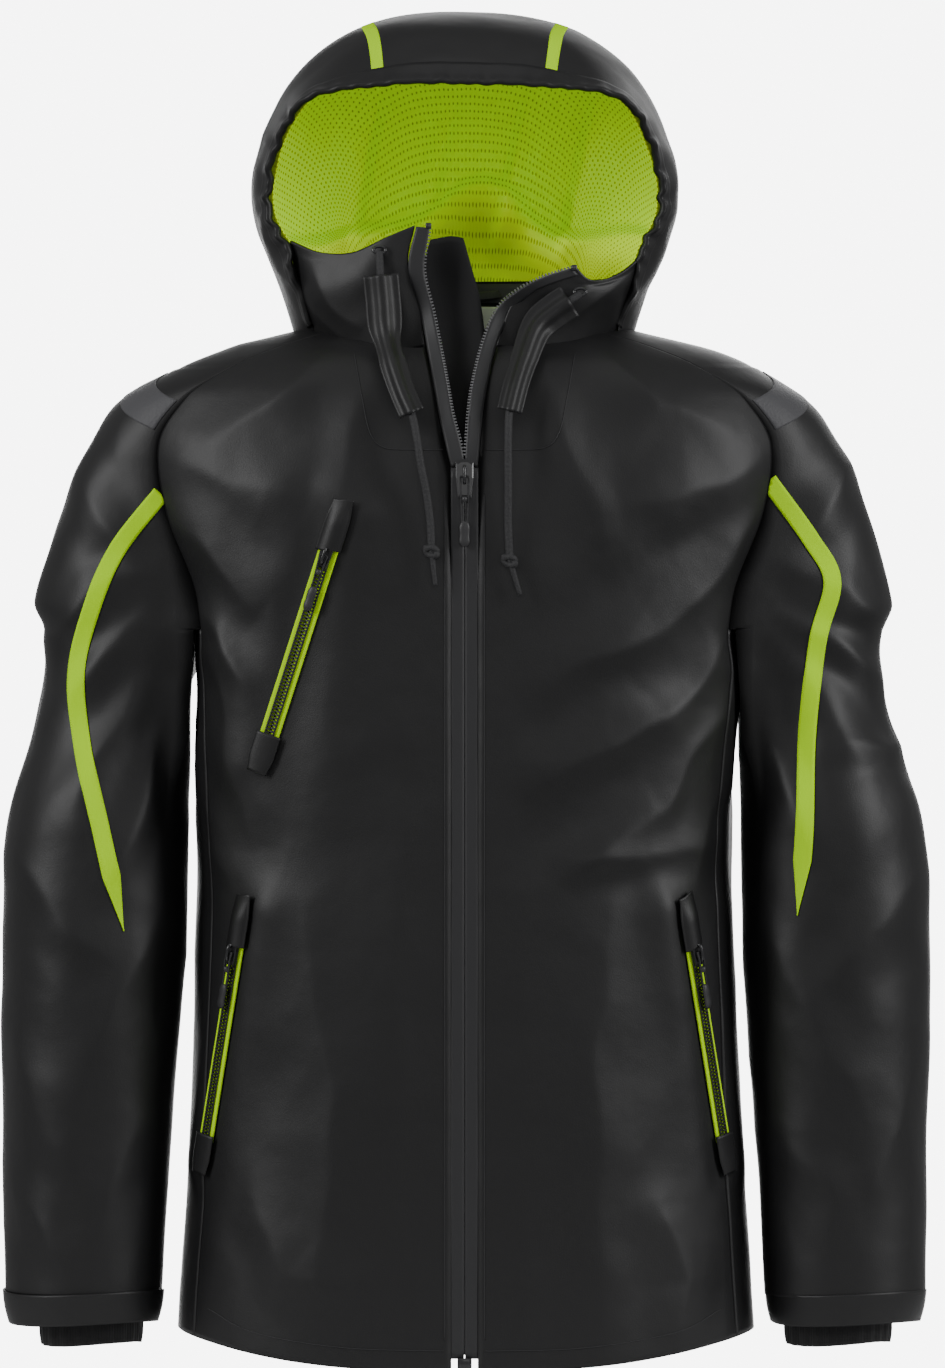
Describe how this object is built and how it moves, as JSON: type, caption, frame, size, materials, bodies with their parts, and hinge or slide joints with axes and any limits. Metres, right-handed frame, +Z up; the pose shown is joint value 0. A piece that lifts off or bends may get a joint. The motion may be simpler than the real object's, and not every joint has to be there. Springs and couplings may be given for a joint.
{
  "type": "hooded shell jacket",
  "caption": "Hooded waterproof work shell jacket in black with lime mesh hood lining, lime trims, waterproof front and pocket zips, drawcords and raisable sleeves, hung by its inner neck loop",
  "frame": {"origin": "the middle of the hanger loop's bar at the inner back neck", "axes": "+X to the wearer's left, +Y towards the wearer's back, +Z up towards the hood's crown"},
  "size_m": [0.7142, 0.2969, 1.0371],
  "materials": {
    "shell_fabric": "matte woven laminate",
    "inner_fabric": "matte laminate backing",
    "lining_mesh": "open knitted mesh",
    "accent_lime": "smooth welded film",
    "zip_tape_lime": "coated waterproof tape",
    "zip_tape_grey": "coated waterproof tape",
    "zip_teeth_grey": "moulded plastic",
    "zip_teeth_black": "moulded plastic",
    "black_plastic": "moulded plastic, slight sheen",
    "soft_pull": "soft moulded pull on a thin cord",
    "cord": "ribbed elastic braid",
    "cord_tip": "heat-set braid end",
    "reflective_grey": "fine reflective grid",
    "pocket_mesh": "light knitted mesh",
    "cuff_knit": "stretch knit",
    "neck_tape": "woven tape",
    "label_grey": "satin ribbon, blank",
    "seam_thread": "stitching"
  },
  "bodies": {
    "jacket": {"right_front_panel": "shell_fabric", "left_front_panel": "shell_fabric", "right_side_panel": "shell_fabric", "left_side_panel": "shell_fabric", "back_panel": "shell_fabric", "right_shoulder": "shell_fabric", "left_shoulder": "shell_fabric", "hem_facing": "inner_fabric", "right_collar": "shell_fabric", "left_collar": "shell_fabric", "back_collar": "shell_fabric", "neck_tape": "neck_tape", "hanger_loop": "inner_fabric", "size_label": "label_grey", "storm_flap": "inner_fabric", "right_zip_tape": "zip_tape_grey", "left_zip_tape": "zip_tape_grey", "right_zip_teeth": "zip_teeth_grey", "left_zip_teeth": "zip_teeth_grey", "zip_stops": "black_plastic", "chest_zip": "zip_tape_lime", "chest_zip_ends": "shell_fabric", "chest_pocket_bag": "pocket_mesh", "right_pocket_zip": "zip_tape_lime", "right_pocket_ends": "shell_fabric", "right_pocket_bag": "pocket_mesh", "left_pocket_zip": "zip_tape_lime", "left_pocket_ends": "shell_fabric", "left_pocket_bag": "pocket_mesh", "cord_eyelets": "black_plastic", "right_cord_tunnel": "shell_fabric", "left_cord_tunnel": "shell_fabric", "right_drawcord": "cord", "left_drawcord": "cord", "right_cord_end": "cord_tip", "left_cord_end": "cord_tip", "shoulder_patches": "reflective_grey"},
    "hood": {"hood_right_panel": "shell_fabric", "hood_left_panel": "shell_fabric", "hood_centre_panel": "shell_fabric", "hood_lining": "lining_mesh", "hood_rim": "shell_fabric", "hood_strips": "accent_lime", "hood_cord": "cord"},
    "right_sleeve_body": {"right_sleeve": "shell_fabric", "right_cuff_band": "shell_fabric", "right_inner_cuff": "cuff_knit", "right_sleeve_strip": "accent_lime"},
    "left_sleeve_body": {"left_sleeve": "shell_fabric", "left_cuff_band": "shell_fabric", "left_inner_cuff": "cuff_knit", "left_sleeve_strip": "accent_lime"},
    "main_zip_slider": {"main_slider": "black_plastic"},
    "main_zip_pull": {"main_pull": "soft_pull"},
    "chest_zip_slider": {"chest_slider": "black_plastic"},
    "chest_zip_pull": {"chest_pull": "soft_pull"},
    "right_zip_slider": {"right_pocket_slider": "black_plastic"},
    "right_zip_pull": {"right_pocket_pull": "soft_pull"},
    "left_zip_slider": {"left_pocket_slider": "black_plastic"},
    "left_zip_pull": {"left_pocket_pull": "soft_pull"}
  },
  "joints": [
    {"name": "hood_tilt", "type": "hinge", "parent": "jacket", "child": "hood", "pos_m": [0, -0.07, -0.025], "axis": [-1, 0, 0], "range_deg": [0, 25]},
    {"name": "right_sleeve_raise", "type": "hinge", "parent": "jacket", "child": "right_sleeve_body", "pos_m": [-0.235, -0.085, -0.2], "axis": [0, 1, 0], "range_deg": [0, 50]},
    {"name": "left_sleeve_raise", "type": "hinge", "parent": "jacket", "child": "left_sleeve_body", "pos_m": [0.235, -0.085, -0.2], "axis": [0, -1, 0], "range_deg": [0, 50]},
    {"name": "main_zip_slide", "type": "slide", "parent": "jacket", "child": "main_zip_slider", "axis": [0, 0, -1], "range_m": [0, 0.645]},
    {"name": "main_pull_swing", "type": "hinge", "parent": "main_zip_slider", "child": "main_zip_pull", "pos_m": [0, -0.2174, -0.1467], "axis": [-1, 0, 0], "range_deg": [0, 75]},
    {"name": "chest_zip_slide", "type": "slide", "parent": "jacket", "child": "chest_zip_slider", "axis": [-0.3047, 0.1219, -0.9446], "range_m": [0, 0.138]},
    {"name": "chest_pull_swing", "type": "hinge", "parent": "chest_zip_slider", "child": "chest_zip_pull", "pos_m": [-0.10624, -0.21641, -0.20641], "axis": [-0.9075, 0.2638, 0.3268], "range_deg": [0, 75]},
    {"name": "right_pocket_zip_slide", "type": "slide", "parent": "jacket", "child": "right_zip_slider", "axis": [-0.1583, 0.1619, -0.974], "range_m": [0, 0.138]},
    {"name": "right_pocket_pull_swing", "type": "hinge", "parent": "right_zip_slider", "child": "right_zip_pull", "pos_m": [-0.17886, -0.1786, -0.50753], "axis": [-0.6467, 0.7285, 0.2262], "range_deg": [0, 75]},
    {"name": "left_pocket_zip_slide", "type": "slide", "parent": "jacket", "child": "left_zip_slider", "axis": [0.1583, 0.1619, -0.974], "range_m": [0, 0.138]},
    {"name": "left_pocket_pull_swing", "type": "hinge", "parent": "left_zip_slider", "child": "left_zip_pull", "pos_m": [0.17886, -0.1786, -0.50753], "axis": [-0.6467, -0.7285, -0.2262], "range_deg": [0, 75]}
  ]
}
